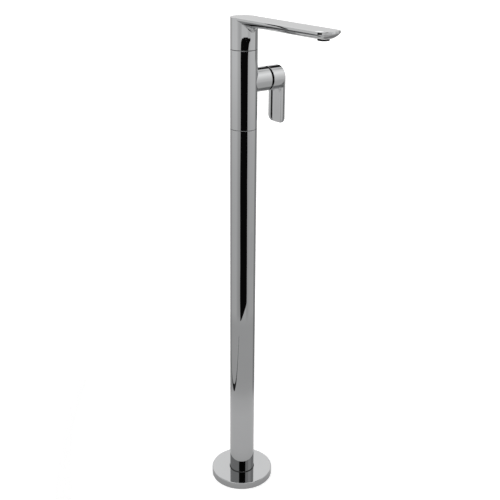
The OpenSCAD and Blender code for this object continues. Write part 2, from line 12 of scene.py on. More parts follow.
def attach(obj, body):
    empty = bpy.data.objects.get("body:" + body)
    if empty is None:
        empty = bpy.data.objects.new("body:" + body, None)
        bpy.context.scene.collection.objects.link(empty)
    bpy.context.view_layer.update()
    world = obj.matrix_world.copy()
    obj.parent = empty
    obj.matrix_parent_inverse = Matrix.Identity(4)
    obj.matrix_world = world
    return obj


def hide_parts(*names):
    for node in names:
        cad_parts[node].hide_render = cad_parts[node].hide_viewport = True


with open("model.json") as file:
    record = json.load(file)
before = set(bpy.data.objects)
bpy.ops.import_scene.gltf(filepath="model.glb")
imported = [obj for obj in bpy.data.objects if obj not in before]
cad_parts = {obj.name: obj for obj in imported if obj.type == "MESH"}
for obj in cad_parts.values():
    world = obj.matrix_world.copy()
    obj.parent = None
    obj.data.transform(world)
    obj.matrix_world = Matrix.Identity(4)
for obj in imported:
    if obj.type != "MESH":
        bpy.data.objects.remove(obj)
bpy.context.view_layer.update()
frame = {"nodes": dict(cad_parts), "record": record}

MM = 0.001
SEGMENTS = 256
SUPPORT = 0.2
FINE_MERGE = 0.0001

# Camera of the photograph, in the row frame
CAMERA_PLACE = (-1.05822, -1.32562, 1.26390)
CAMERA_RIGHT = (0.777957, -0.628268, 0.007911)
CAMERA_UP = (0.232924, 0.300068, 0.925043)
CAMERA_AHEAD = (0.583549, 0.717801, -0.379779)
CAMERA_LENS = 861.0 / 500.0 * 36.0
PHOTO_TURN = math.radians(38.6)

# Sizes in millimetres, as in the CAD model
COLUMN_R = 27.5
COLUMN_BORE_R = 25.5
EDGE = 0.35
COLUMN_FOOT_Z = 8.0
COLUMN_TOP_Z = 832.6
BODY_FOOT_Z = 833.4
BODY_TOP_Z = 989.5
HEAD_FOOT_Z = 990.5
TOP_Z = 1051.0
BOSS_Z = 926.5
BOSS_R = 24.4
BOSS_END_X = 54.2
BOSS_EDGE_X = BOSS_END_X - 0.3
BOSS_SEAT_X = BOSS_END_X - 7.0
BOSS_MOUTH_R = 21.25
KNOB_X = 58.8
FACE_X = 88.6
BOSS_BLEND = 3.0
FLANGE_R = 69.3
FLANGE_H = 16.0

SPOUT_HALF = 26.0
SPOUT_EDGE = 4.2
SPOUT_BELLY = 12.6
SPOUT_TIP_U = 224.0
SPOUT_TIP_LENGTH = 22.0
SPOUT_POWER = 3.5
SPOUT_BLEND = 12.0
SPOUT_TIP_TURN = 87.4
BELLY_R = (SPOUT_HALF**2 + SPOUT_BELLY**2) / (2 * SPOUT_BELLY)
BELLY_SINK = BELLY_R - SPOUT_BELLY
AERATOR_U = 221.5
AERATOR_FOOT_Z = 1033.2


# Mesh helpers


def new_object(name, vertices, faces, sharp=35.0):
    """A mesh object from points in millimetres, smooth but for edges sharper than the angle."""
    mesh = bpy.data.meshes.new(name)
    mesh.from_pydata([tuple(c * MM for c in v) for v in vertices], [], faces)
    mesh.validate()
    mesh.update()
    for polygon in mesh.polygons:
        polygon.use_smooth = True
    mesh.set_sharp_from_angle(angle=math.radians(sharp))
    made = bpy.data.objects.new(name, mesh)
    bpy.context.scene.collection.objects.link(made)
    return made


class Shell:
    """Points and faces of a piece that is put together from several surfaces."""

    def __init__(self):
        self.points = []
        self.faces = []

    def add(self, points, faces):
        start = len(self.points)
        self.points.extend(points)
        self.faces.extend([tuple(start + i for i in face) for face in faces])

    def rings(self, rings, closed=True, cap_first=False, cap_last=False):
        """Skin over rings of points with equal counts."""
        count = len(rings[0])
        points = [p for ring in rings for p in ring]
        faces = []
        steps = count if closed else count - 1
        for i in range(len(rings) - 1):
            for k in range(steps):
                a, b = i * count + k, i * count + (k + 1) % count
                faces.append((a, b, b + count, a + count))
        if cap_first:
            faces.append(tuple(range(count - 1, -1, -1)))
        if cap_last:
            last = (len(rings) - 1) * count
            faces.append(tuple(last + k for k in range(count)))
        self.add(points, faces)

    def lathe(self, profile, axis="z", steps=SEGMENTS, z=0.0, close=False):
        """Turned surface from (radius, height) pairs, round the column axis or the boss axis."""
        rings = []
        for r, h in supported(profile, close):
            ring = []
            for k in range(steps):
                a = 2 * math.pi * k / steps
                if axis == "z":
                    ring.append((r * math.cos(a), r * math.sin(a), h))
                else:
                    ring.append((h, r * math.cos(a), z + r * math.sin(a)))
            rings.append(ring)
        if close:
            rings.append(rings[0])
        self.rings(rings)

    def build(self, name, sharp=35.0, merge=0.002):
        made = new_object(name, self.points, self.faces, sharp)
        work = bmesh.new()
        work.from_mesh(made.data)
        bmesh.ops.remove_doubles(work, verts=work.verts, dist=merge * MM)
        bmesh.ops.recalc_face_normals(work, faces=work.faces)
        work.to_mesh(made.data)
        work.free()
        for polygon in made.data.polygons:
            polygon.use_smooth = True
        made.data.set_sharp_from_angle(angle=math.radians(sharp))
        return made


def supported(profile, close):
    """The profile with points added near both ends of its longer runs, which keeps their shading straight."""
    points = []
    ends = list(profile[1:]) + ([profile[0]] if close else [])
    for a, b in zip(profile, ends):
        points.append(a)
        length = math.hypot(b[0] - a[0], b[1] - a[1])
        if length > 6 * SUPPORT:
            for share in (SUPPORT / length, 1 - SUPPORT / length):
                points.append((a[0] + (b[0] - a[0]) * share, a[1] + (b[1] - a[1]) * share))
    if not close:
        points.append(profile[-1])
    return points


def arc(centre, radius, start, end, steps):
    """Points (r, h) along an arc, angles in degrees."""
    return [
        (
            centre[0] + radius * math.cos(math.radians(start + (end - start) * i / steps)),
            centre[1] + radius * math.sin(math.radians(start + (end - start) * i / steps)),
        )
        for i in range(steps + 1)
    ]


# Material helpers


def link(tree, a, b):
    tree.links.new(a, b)


def add_node(tree, kind, **values):
    """A shader node with its properties and input values set."""
    made = tree.nodes.new(kind)
    for key, value in values.items():
        if key.startswith("in_"):
            made.inputs[key[3:].replace("_", " ")].default_value = value
        else:
            setattr(made, key, value)
    return made


def noise(tree, scale, detail=3.0, stretch=(1.0, 1.0, 1.0)):
    """Noise in object space, with its coordinates stretched."""
    place = add_node(tree, "ShaderNodeTexCoord")
    mapping = add_node(tree, "ShaderNodeMapping")
    mapping.inputs["Scale"].default_value = stretch
    made = add_node(tree, "ShaderNodeTexNoise")
    made.inputs["Scale"].default_value = scale
    made.inputs["Detail"].default_value = detail
    link(tree, place.outputs["Object"], mapping.inputs["Vector"])
    link(tree, mapping.outputs["Vector"], made.inputs["Vector"])
    return made


def spread(tree, source, low, high):
    """The source's 0 to 1 spread over low to high."""
    made = add_node(tree, "ShaderNodeMapRange")
    made.inputs["From Min"].default_value = 0.3
    made.inputs["From Max"].default_value = 0.7
    made.inputs["To Min"].default_value = low
    made.inputs["To Max"].default_value = high
    link(tree, source, made.inputs["Value"])
    return made.outputs["Result"]


def material(name, colour, metallic, rough, bump=0.02, scale=60.0, shade=0.06, stretch=(1.0, 1.0, 1.0),
             depth=0.0002, specular=0.5):
    """A surface whose colour, roughness and relief all vary a little with procedural noise."""
    made = bpy.data.materials.new(name)
    made.use_nodes = True
    tree = made.node_tree
    shader = tree.nodes["Principled BSDF"]
    shader.inputs["Metallic"].default_value = metallic
    shader.inputs["Specular IOR Level"].default_value = specular
    coarse = noise(tree, scale, 4.0, stretch)
    fine = noise(tree, scale * 6.0, 3.0, stretch)
    ramp = add_node(tree, "ShaderNodeMix", data_type="RGBA")
    dark = [c * (1.0 - shade) for c in colour]
    light = [min(1.0, c * (1.0 + shade)) for c in colour]
    ramp.inputs["A"].default_value = (*dark, 1.0)
    ramp.inputs["B"].default_value = (*light, 1.0)
    link(tree, spread(tree, coarse.outputs["Fac"], 0.0, 1.0), ramp.inputs["Factor"])
    link(tree, ramp.outputs["Result"], shader.inputs["Base Color"])
    link(tree, spread(tree, coarse.outputs["Fac"], rough[0], rough[1]), shader.inputs["Roughness"])
    relief = add_node(tree, "ShaderNodeBump")
    relief.inputs["Strength"].default_value = bump
    relief.inputs["Distance"].default_value = depth
    link(tree, fine.outputs["Fac"], relief.inputs["Height"])
    link(tree, relief.outputs["Normal"], shader.inputs["Normal"])
    return made


CHROME = (0.56, 0.565, 0.57)
chrome = material("bright_chrome", CHROME, 1.0, (0.008, 0.02), bump=0.0006, scale=14.0, shade=0.012,
                  depth=0.00003)
seal_rubber = material("seal_rubber", (0.03, 0.03, 0.03), 0.0, (0.55, 0.75), bump=0.2, scale=300.0)
brass = material("plain_brass", (0.72, 0.56, 0.26), 1.0, (0.22, 0.38), bump=0.08, scale=90.0,
                 stretch=(1, 1, 6))
stainless = material("stainless", (0.6, 0.6, 0.6), 1.0, (0.2, 0.34), bump=0.08, scale=120.0)
zinc = material("zinc_steel", (0.5, 0.5, 0.5), 1.0, (0.3, 0.48), bump=0.12, scale=70.0, shade=0.12)
ceramic = material("valve_ceramic", (0.92, 0.92, 0.9), 0.0, (0.08, 0.16), bump=0.02, scale=80.0, shade=0.02)
cartridge = material("cartridge_plastic", (0.25, 0.26, 0.28), 0.0, (0.35, 0.5), bump=0.1, scale=200.0)
spacer = material("spacer_plastic", (0.85, 0.85, 0.83), 0.0, (0.5, 0.65), bump=0.25, scale=260.0)
dark_plastic = material("dark_plastic", (0.012, 0.012, 0.012), 0.0, (0.4, 0.55), bump=0.05, scale=180.0,
                        specular=0.1)
grey_plastic = material("aerator_plastic", (0.35, 0.36, 0.37), 0.0, (0.4, 0.55), bump=0.1, scale=240.0)


def braid_material():
    """Fine crossed steel braid on a hose, as two sets of stripes in object space."""
    made = material("hose_braid", (0.55, 0.56, 0.57), 0.85, (0.28, 0.42), bump=0.1, scale=200.0)
    tree = made.node_tree
    shader = tree.nodes["Principled BSDF"]
    place = add_node(tree, "ShaderNodeTexCoord")
    total = add_node(tree, "ShaderNodeMath", operation="MAXIMUM")
    for i, turn in enumerate((0.7, -0.7)):
        mapping = add_node(tree, "ShaderNodeMapping")
        mapping.inputs["Rotation"].default_value = (turn, turn, 0.0)
        wave = add_node(tree, "ShaderNodeTexWave")
        wave.inputs["Scale"].default_value = 260.0
        link(tree, place.outputs["Object"], mapping.inputs["Vector"])
        link(tree, mapping.outputs["Vector"], wave.inputs["Vector"])
        link(tree, wave.outputs["Fac"], total.inputs[i])
    relief = add_node(tree, "ShaderNodeBump")
    relief.inputs["Strength"].default_value = 0.6
    relief.inputs["Distance"].default_value = 0.0004
    link(tree, total.outputs["Value"], relief.inputs["Height"])
    link(tree, relief.outputs["Normal"], shader.inputs["Normal"])
    return made


hose_braid = braid_material()

SLOTS = {
    "chrome_shell": chrome,
    "seal_rubber": seal_rubber,
    "plain_brass": brass,
    "stainless": stainless,
    "base_steel": zinc,
    "hose_braid": hose_braid,
    "valve_ceramic": ceramic,
    "cartridge_plastic": cartridge,
    "spacer_plastic": spacer,
    "dark_plastic": dark_plastic,
    "aerator_plastic": grey_plastic,
    "chrome_plug": chrome,
}


def set_material(thing, chosen):
    thing.data.materials.clear()
    thing.data.materials.append(chosen)


def paint_frame():
    """Every CAD node takes the material of its slot."""
    for entry in frame["record"]["subparts"]:
        node = frame["nodes"][entry["node"]]
        set_material(node, SLOTS[entry["material_slot"]])
        for polygon in node.data.polygons:
            polygon.use_smooth = True
        node.data.set_sharp_from_angle(angle=math.radians(30.0))


def finish_piece(piece, body, slot_name, *nodes):
    """Gives a piece its material, and ties it to its body and to the CAD nodes that it stands for."""
    set_material(piece, SLOTS[slot_name])
    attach(piece, body)
    if nodes:
        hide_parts(*nodes)
    return piece


# Base and column


def make_flange():
    """Cover flange: a shell with a softly rounded upper edge."""
    edge = 1.0
    wall = 1.8
    hole = COLUMN_R + 0.05
    shell = Shell()
    profile = [(FLANGE_R - wall, 0.0), (FLANGE_R - 0.2, 0.0), (FLANGE_R, 0.2)]
    profile += arc((FLANGE_R - edge, FLANGE_H - edge), edge, 0, 90, 8)
    profile += [(hole + 0.3, FLANGE_H), (hole, FLANGE_H - 0.3), (hole, FLANGE_H - wall)]
    profile += [(FLANGE_R - wall, FLANGE_H - wall)]
    shell.lathe(profile, close=True)
    return finish_piece(shell.build("cover_flange_shell"), "column", "chrome_shell", "cover_flange")


def make_foot_seal():
    """Soft ring where the column leaves the flange."""
    shell = Shell()
    bead = 0.6
    profile = arc((COLUMN_R + bead, FLANGE_H + bead), bead, -90, 90, 8)
    profile += [(COLUMN_R + 0.02, FLANGE_H + 2 * bead), (COLUMN_R + 0.02, FLANGE_H)]
    shell.lathe(profile, steps=128, close=True)
    return finish_piece(shell.build("column_foot_ring"), "column", "seal_rubber", "column_foot_seal")


def make_column():
    """Column tube with a small bevel at each end."""
    shell = Shell()
    profile = [(COLUMN_BORE_R, COLUMN_FOOT_Z), (COLUMN_R - EDGE, COLUMN_FOOT_Z)]
    profile += [(COLUMN_R, COLUMN_FOOT_Z + EDGE)]
    profile += arc((COLUMN_R - EDGE, COLUMN_TOP_Z - EDGE), EDGE, 0, 90, 4)
    profile += [(COLUMN_BORE_R, COLUMN_TOP_Z)]
    shell.lathe(profile, close=True)
    return finish_piece(shell.build("column_tube_skin"), "column", "chrome_shell", "column_tube")


# Valve body


def blend_strip(shell):
    """Rolling-ball blend between the round body and the round boss."""
    ball = BOSS_BLEND
    far_r, near_r = COLUMN_R + ball, BOSS_R + ball
    around, across = 360, 18
    rings = [[] for j in range(across + 1)]
    for k in range(around):
        a = 2 * math.pi * k / around
        y, z = near_r * math.cos(a), near_r * math.sin(a)
        x = math.sqrt(far_r**2 - y**2)
        centre = Vector((x, y, z))
        to_boss = Vector((0.0, -y, -z)).normalized()
        to_body = Vector((-x, -y, 0.0)).normalized()
        angle = to_boss.angle(to_body)
        for j in range(across + 1):
            t = j / across
            way = (math.sin((1 - t) * angle) * to_boss + math.sin(t * angle) * to_body) / math.sin(angle)
            p = centre + way * ball
            rings[j].append((p.x, p.y, p.z + BOSS_Z))
    shell.rings(rings)


def make_valve_body():
    """Valve body: round body, side boss, the blend between them and the edges at the seams."""
    shell = Shell()
    profile = [(COLUMN_BORE_R, BODY_FOOT_Z + 40), (COLUMN_BORE_R, BODY_FOOT_Z)]
    profile += [(COLUMN_R - EDGE, BODY_FOOT_Z)]
    profile += arc((COLUMN_R - EDGE, BODY_FOOT_Z + EDGE), EDGE, -90, 0, 4)[1:]
    profile += arc((COLUMN_R - EDGE, BODY_TOP_Z - EDGE), EDGE, 0, 90, 4)
    profile += [(19.05, BODY_TOP_Z), (19.05, BODY_TOP_Z - 14)]
    shell.lathe(profile)
    rim = 0.5
    boss = [(BOSS_R, 12.0), (BOSS_R, BOSS_EDGE_X - rim)]
    boss += arc((BOSS_R - rim, BOSS_EDGE_X - rim), rim, 0, 90, 5)[1:]
    boss += [(BOSS_MOUTH_R, BOSS_EDGE_X), (BOSS_MOUTH_R, BOSS_SEAT_X)]
    shell.lathe(boss, axis="x", z=BOSS_Z)
    blend_strip(shell)
    skin = shell.build("valve_body_skin", merge=FINE_MERGE)
    return finish_piece(skin, "column", "chrome_shell", "valve_body")


def make_dome():
    """Dark sleeve in the gap between the boss and the knob, with a thin collar on the boss's end."""
    shell = Shell()
    start, end, outer, inner, tip_round = 47.5, 59.8, 21.2, 16.0, 2.0
    collar_r, collar_start, collar_end = BOSS_R - 0.55, BOSS_EDGE_X + 0.02, BOSS_EDGE_X + 0.4
    profile = [(inner, start), (outer, start), (outer, collar_start), (collar_r, collar_start)]
    profile += [(collar_r, collar_end), (outer, collar_end), (outer, end - tip_round)]
    profile += arc((outer - tip_round, end - tip_round), tip_round, 0, 90, 6)[1:]
    profile += [(inner + 0.4, end), (inner, end - 0.4)]
    shell.lathe(profile, axis="x", z=BOSS_Z, steps=160, close=True)
    return finish_piece(shell.build("boss_sleeve"), "column", "dark_plastic", "boss_dome")


# Lever

BLADE_T = 4.6
BLADE_FOOT = 93.5
BLADE_CORNER = 13.0
BLADE_BOW = 1.2
BACK_X = FACE_X - BLADE_T
BACK_EDGE = 2.0
RECESS = 2.8
RECESS_LIP = 8.2
RECESS_SLOPE = 0.8


def blade_loop(inset):
    """Outline of the lever in Y and Z about the boss axis, moved inwards by inset."""
    half = BOSS_R - inset
    foot = -BLADE_FOOT + inset
    corner = max(BLADE_CORNER - inset, 0.8)
    bow_r = (BOSS_R**2 + BLADE_BOW**2) / (2 * BLADE_BOW)
    top_steps, side_steps, corner_steps, foot_steps = 96, 24, 16, 32

    def bow(y):
        return bow_r - math.sqrt(bow_r**2 - y**2)

    points = []
    for i in range(top_steps + 1):
        a = math.pi * i / top_steps
        points.append((half * math.cos(a), half * math.sin(a)))
    corner_y = half - corner
    corner_z = foot + corner + bow(corner_y) * 0.6
    for i in range(1, side_steps):
        points.append((-half, corner_z * i / side_steps))
    left = []
    for i in range(corner_steps + 1):
        a = math.radians(180 + 90 * i / corner_steps)
        left.append((-corner_y + corner * math.cos(a), corner_z + corner * math.sin(a)))
    lift = foot + bow(corner_y) - left[-1][1]
    left = [(y, z + lift * (i / corner_steps) ** 2) for i, (y, z) in enumerate(left)]
    points += left
    for i in range(1, foot_steps):
        y = -corner_y + 2 * corner_y * i / foot_steps
        points.append((y, foot + bow(y)))
    points += [(-y, z) for y, z in reversed(left)]
    for i in range(side_steps - 1, 0, -1):
        points.append((half, corner_z * i / side_steps))
    return points


def blade_ring(x, inset):
    return [(x, y, BOSS_Z + z) for y, z in blade_loop(inset)]


def soft_step(value, size, round_off):
    """Ramp from 0 to size with both its corners rounded."""
    value = min(max(value, -round_off), size + round_off)
    if value < round_off:
        return (value + round_off) ** 2 / (4 * round_off)
    if value > size - round_off:
        return size - (size + round_off - value) ** 2 / (4 * round_off)
    return value


def recess_depth(y, z):
    """Depth of the recess in the blade's back, which runs out at the foot."""
    foot = max(12.0 - (z + BLADE_FOOT), 0.0) / 12.0
    side = BOSS_R - RECESS_LIP - 1.6 * foot**3 - abs(y)
    under_knob = math.hypot(y, z) - BOSS_R - 1.5 if z < 0 else -1.0
    return min(soft_step(side * RECESS_SLOPE, RECESS, 0.35), soft_step(under_knob, RECESS, 0.35))


def with_recess(ring):
    """The ring with the points of the blade's back moved into the recess."""
    points = []
    for x, y, z in ring:
        share = min(max((x - BACK_X - BACK_EDGE) / -BACK_EDGE, 0.0), 1.0)
        points.append((x + recess_depth(y, z - BOSS_Z) * share if share else x, y, z))
    return points


def make_handle():
    """Lever: a hollow round knob with a blade that hangs from its flat outer face."""
    shell = Shell()
    outer_edge = 0.8
    rings = [blade_ring(FACE_X, 12.0), blade_ring(FACE_X, 6.0), blade_ring(FACE_X, outer_edge + SUPPORT)]
    for i in range(9):
        a = math.radians(90 - 90 * i / 8)
        x = FACE_X - outer_edge + outer_edge * math.sin(a)
        rings.append(blade_ring(x, outer_edge * (1 - math.cos(a))))
    rings.append(blade_ring(FACE_X - outer_edge - SUPPORT, 0.0))
    rings.append(blade_ring(BACK_X + BACK_EDGE + SUPPORT, 0.0))
    for i in range(13):
        a = math.radians(90 * i / 12)
        rings.append(blade_ring(BACK_X + BACK_EDGE - BACK_EDGE * math.sin(a), BACK_EDGE * (1 - math.cos(a))))
    for i in range(1, 36):
        rings.append(blade_ring(BACK_X, BACK_EDGE + i * 0.35))
    rings.append(blade_ring(BACK_X, 18.0))
    shell.rings([with_recess(ring) for ring in rings], cap_first=True, cap_last=True)

    rim, bore, hub = 0.4, BOSS_R - 2.4, 7.5
    floor_x = KNOB_X + 11.2
    knob = [(BOSS_R, FACE_X - 1.2), (BOSS_R, KNOB_X + rim)]
    knob += arc((BOSS_R - rim, KNOB_X + rim), rim, 0, -90, 4)[1:]
    knob += [(bore + 0.2, KNOB_X), (bore, KNOB_X + 0.2), (bore, floor_x), (hub, floor_x)]
    knob += [(hub, floor_x - 2.5), (5.7, floor_x - 2.5), (5.7, floor_x + 9.0)]
    shell.lathe(knob, axis="x", z=BOSS_Z)
    skin = shell.build("lever_handle_skin", merge=FINE_MERGE)
    return finish_piece(skin, "lever", "chrome_shell", "lever_handle")


# Spout


def belly(share):
    return math.sqrt(max(BELLY_R**2 - (SPOUT_HALF * share) ** 2, 0.0)) - BELLY_SINK


def blend_drop(v, distance):
    """Drop of the blend below the belly beside the round head."""
    size = SPOUT_BLEND * max(1 - (math.sqrt(v * v + 9) - 3) / (SPOUT_HALF - 5 - 3), 0.0)
    if distance >= size or size <= 0:
        return 0.0
    return size - math.sqrt(max(size**2 - (size - max(distance, 0.0)) ** 2, 0.0))


def under_z(u, v):
    share = ((abs(v) / SPOUT_HALF) ** SPOUT_POWER
             + (max(u - SPOUT_TIP_U, 0.0) / SPOUT_TIP_LENGTH) ** SPOUT_POWER) ** (1 / SPOUT_POWER)
    return TOP_Z - SPOUT_EDGE - belly(min(share, 1.0)) - blend_drop(v, math.hypot(u, v) - COLUMN_R + 0.05)


def make_spout():
    """Spout: round head and flat arm with a rounded belly."""
    shell = Shell()
    top_edge = 0.9
    tip_steps, section = 48, 72
    roots = [-6.0, 4.0, 8.0] + [10.0 + i * 0.9 for i in range(36)] + [44.0 + i * 8.0 for i in range(23)]
    stations = [(u, 1.0) for u in roots]
    for i in range(tip_steps + 1):
        a = math.radians(SPOUT_TIP_TURN * i / tip_steps)
        stations.append((SPOUT_TIP_U + SPOUT_TIP_LENGTH * math.sin(a) ** (2 / SPOUT_POWER),
                         math.cos(a) ** (2 / SPOUT_POWER)))
    rings = []
    for u, width in stations:
        half = SPOUT_HALF * width
        past = max(u - SPOUT_TIP_U, 0.0)
        ring = [(half, u, TOP_Z, top_edge + SUPPORT)]
        for k in range(7):
            a = math.radians(90 - 90 * k / 6)
            shrink = top_edge * (1 - math.cos(a))
            ring.append((half, u, TOP_Z - top_edge + top_edge * math.sin(a), shrink))
        ring.append((half, u, TOP_Z - top_edge - SUPPORT, 0.0))
        for k in range(section + 1):
            v = half * math.sin(math.pi / 2 - math.pi * k / section)
            ring.append((v, u, under_z(u, v), 0.0))
        ring.append((-half, u, TOP_Z - top_edge - SUPPORT, 0.0))
        for k in range(6, -1, -1):
            a = math.radians(90 - 90 * k / 6)
            shrink = top_edge * (1 - math.cos(a))
            ring.append((-half, u, TOP_Z - top_edge + top_edge * math.sin(a), shrink))
        ring.append((-half, u, TOP_Z, top_edge + SUPPORT))
        points = []
        for v, w, z, shrink in ring:
            if shrink:
                # Moves the edge's points inwards along the outline's normal
                dv = (abs(v) / SPOUT_HALF) ** (SPOUT_POWER - 1) / SPOUT_HALF
                du = (past / SPOUT_TIP_LENGTH) ** (SPOUT_POWER - 1) / SPOUT_TIP_LENGTH if past else 0.0
                size = math.hypot(dv, du) or 1.0
                v -= math.copysign(shrink * dv / size, v)
                w -= shrink * du / size
            points.append((v, -w, z))
        rings.append(points)
    shell.rings(rings, cap_first=True, cap_last=True)

    top_round, bore = 0.7, 15.05
    head_top = TOP_Z - 0.01
    profile = [(bore, TOP_Z - 20), (bore, HEAD_FOOT_Z + 0.3), (bore + 0.3, HEAD_FOOT_Z)]
    profile += [(COLUMN_R - EDGE, HEAD_FOOT_Z)]
    profile += arc((COLUMN_R - EDGE, HEAD_FOOT_Z + EDGE), EDGE, -90, 0, 4)[1:]
    profile += arc((COLUMN_R - top_round, head_top - top_round), top_round, 0, 90, 6)
    profile += [(0.01, head_top)]
    shell.lathe(profile)
    skin = shell.build("spout_skin", sharp=28.0, merge=FINE_MERGE)
    return finish_piece(skin, "spout", "chrome_shell", "spout_body")


def make_aerator():
    """Aerator housing: a ring with a toothed lower edge."""
    shell = Shell()
    teeth, outer, inner = 96, 11.0, 8.4
    foot, top = AERATOR_FOOT_Z, AERATOR_FOOT_Z + 7.1
    count = teeth * 2
    rings = []
    for r, z, depth in ((inner, foot + 1.2, 0), (inner, foot + 0.2, 0), (inner + 0.2, foot, 0),
                        (outer - 0.6, foot, 0), (outer - 0.25, foot + 0.25, 0.1), (outer, foot + 0.5, 0.22),
                        (outer, top - 0.2, 0.22), (outer - 0.2, top, 0.0), (inner + 1.0, top, 0)):
        ring = []
        for k in range(count):
            a = 2 * math.pi * k / count
            rr = r - (depth if k % 2 else 0.0)
            ring.append((rr * math.cos(a), -AERATOR_U + rr * math.sin(a), z))
        rings.append(ring)
    shell.rings(rings)
    return finish_piece(shell.build("aerator_ring", sharp=25.0), "spout", "dark_plastic", "aerator_housing")


paint_frame()
make_flange()
make_foot_seal()
make_column()
make_valve_body()
make_dome()
make_handle()
make_spout()
make_aerator()


# Studio: directions and places here are in the photograph's frame, turned into the row frame


def studio_point(x, y, z):
    """A point given across, away from the camera and up, turned into the row frame."""
    c, s = math.cos(PHOTO_TURN), math.sin(PHOTO_TURN)
    return (x * c + y * s, -x * s + y * c, z)


def stage_faces(name, vertices, faces, chosen):
    """A mesh of the studio, which is no piece of the mixer."""
    mesh = bpy.data.meshes.new(name)
    mesh.from_pydata(vertices, [], faces)
    mesh.update()
    made = bpy.data.objects.new(name, mesh)
    bpy.context.scene.collection.objects.link(made)
    made.data.materials.append(chosen)


def stage_mesh(name, corners, chosen):
    stage_faces(name, [studio_point(*p) for p in corners], [tuple(range(len(corners)))], chosen)


def stage_strip(name, first, second, chosen):
    """A strip of quads between two rows of points given in the photograph's frame."""
    count = len(first)
    faces = [(i, i + 1, i + count + 1, i + count) for i in range(count - 1)]
    stage_faces(name, [studio_point(*p) for p in first + second], faces, chosen)


def glow_material(name, strength, lies=False):
    """Evenly lit card for reflections; to the camera it is clear, or white where it lies on the floor."""
    made = bpy.data.materials.new(name)
    made.use_nodes = True
    tree = made.node_tree
    tree.nodes.clear()
    out = add_node(tree, "ShaderNodeOutputMaterial")
    path = add_node(tree, "ShaderNodeLightPath")
    mixer = add_node(tree, "ShaderNodeMixShader")
    if lies:
        plain = add_node(tree, "ShaderNodeEmission").outputs["Emission"]
    else:
        plain = add_node(tree, "ShaderNodeBsdfTransparent").outputs["BSDF"]
    other = add_node(tree, "ShaderNodeEmission")
    other.inputs["Strength"].default_value = strength
    link(tree, path.outputs["Is Camera Ray"], mixer.inputs["Fac"])
    link(tree, other.outputs["Emission"], mixer.inputs[1])
    link(tree, plain, mixer.inputs[2])
    link(tree, mixer.outputs["Shader"], out.inputs["Surface"])
    return made


def ramp_values(ramp, stops):
    """Sets a colour ramp's stops from (place, grey) pairs."""
    elements = ramp.color_ramp.elements
    while len(elements) > 2:
        elements.remove(elements[-1])
    for i, (place, grey) in enumerate(stops):
        element = elements[i] if i < 2 else elements.new(place)
        element.position = place
        element.color = (grey, grey, grey, 1.0)


def ramp_of(tree, source, low, high, stops, peak):
    """A ramp over low to high of the source, from (value, strength) stops divided by peak."""
    share = add_node(tree, "ShaderNodeMapRange")
    share.inputs["From Min"].default_value = low
    share.inputs["From Max"].default_value = high
    link(tree, source, share.inputs["Value"])
    ramp = add_node(tree, "ShaderNodeValToRGB")
    ramp_values(ramp, [((value - low) / (high - low), strength / peak) for value, strength in stops])
    link(tree, share.outputs["Result"], ramp.inputs["Fac"])
    return ramp.outputs["Color"]


def calculate(tree, operation, first, second=None):
    """A math node on sockets or plain numbers."""
    made = add_node(tree, "ShaderNodeMath", operation=operation)
    for i, value in enumerate((first, second)):
        if value is None:
            continue
        if isinstance(value, (int, float)):
            made.inputs[i].default_value = value
        else:
            link(tree, value, made.inputs[i])
    return made.outputs["Value"]


def photo_angles(tree, vector):
    """Azimuth in degrees from the camera's side, to the right, and the turned vector's three parts."""
    turned = add_node(tree, "ShaderNodeMapping")
    turned.inputs["Rotation"].default_value = (0.0, 0.0, PHOTO_TURN)
    link(tree, vector, turned.inputs["Vector"])
    parts = add_node(tree, "ShaderNodeSeparateXYZ")
    link(tree, turned.outputs["Vector"], parts.inputs["Vector"])
    ahead = calculate(tree, "MULTIPLY", parts.outputs["Y"], -1.0)
    turn = calculate(tree, "ARCTAN2", parts.outputs["X"], ahead)
    return calculate(tree, "DEGREES", turn), parts


# Glow of the floor in reflections by distance from the column in metres, then its change with azimuth
# in degrees: nearer than the second distance of FLOOR_TURNS a change fades out
FLOOR_REACH = 6.5
# Lowest nearer than 0.1 m: a painted contact shadow of the flange on the floor, seen only in reflections
FLOOR_GLOW_AND_SHADOW = [(0.0, 0.46), (0.078, 0.47), (0.1, 0.56), (0.14, 0.62), (0.29, 0.63), (0.36, 0.58), (0.41, 0.5),
               (0.46, 0.48), (0.79, 0.48), (0.88, 0.54), (1.5, 0.555), (2.4, 0.59), (3.4, 0.64), (4.2, 0.69),
               (5.2, 0.74), (6.5, 0.76)]
FRONT_TURNS = [(-180, 1.0), (-62, 1.05), (-52, 0.93), (-42, 0.78), (-25, 0.78), (-15, 1.0), (28, 1.0),
               (34, 0.84), (46, 0.86), (60, 0.98), (112, 1.0), (180, 1.0)]
BACK_TURNS = [(-180, 1.25), (-145, 1.2), (-138, 0.72), (-116, 0.68), (-110, 1.0), (0, 1.0), (110, 1.0),
              (116, 0.52), (143, 0.5), (153, 1.25), (180, 1.25)]
HEAD_TURNS = [(-180, 1.0), (103, 1.0), (107, 0.4), (117, 0.42), (121, 1.0), (180, 1.0)]
FLOOR_TURNS = ((FRONT_TURNS, 0.8, 0.9), (BACK_TURNS, 0.33, 0.42), (HEAD_TURNS, 5.2, 5.8))
TURN_PEAK = 1.25
FLOOR_LIFT = 0.42
DARK_CARD = 0.004


